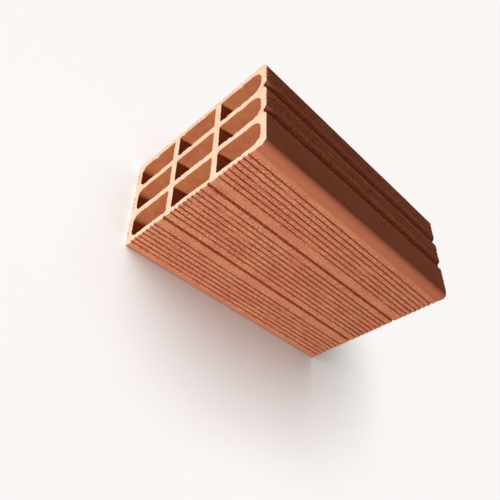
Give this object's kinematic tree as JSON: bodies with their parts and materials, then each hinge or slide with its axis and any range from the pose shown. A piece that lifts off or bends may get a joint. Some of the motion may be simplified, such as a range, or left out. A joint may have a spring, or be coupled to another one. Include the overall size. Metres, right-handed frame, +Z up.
{
  "type": "hollow clay brick",
  "caption": "Hollow fired-clay brick: an extruded block with a grid of through cells, a crowned top row and keying grooves on its faces, laid in walls.",
  "frame": {"origin": "middle of the narrow bed face, on the floor that the brick stands on", "axes": "+X along the extrusion and the cells, +Y through the wall's thickness, +Z up to the face over the crowned row of cells"},
  "size_m": [0.29, 0.115, 0.19],
  "materials": {
    "fired_clay": "matt unglazed fired clay"
  },
  "bodies": {
    "root": {"brick": "fired_clay"}
  },
  "joints": []
}
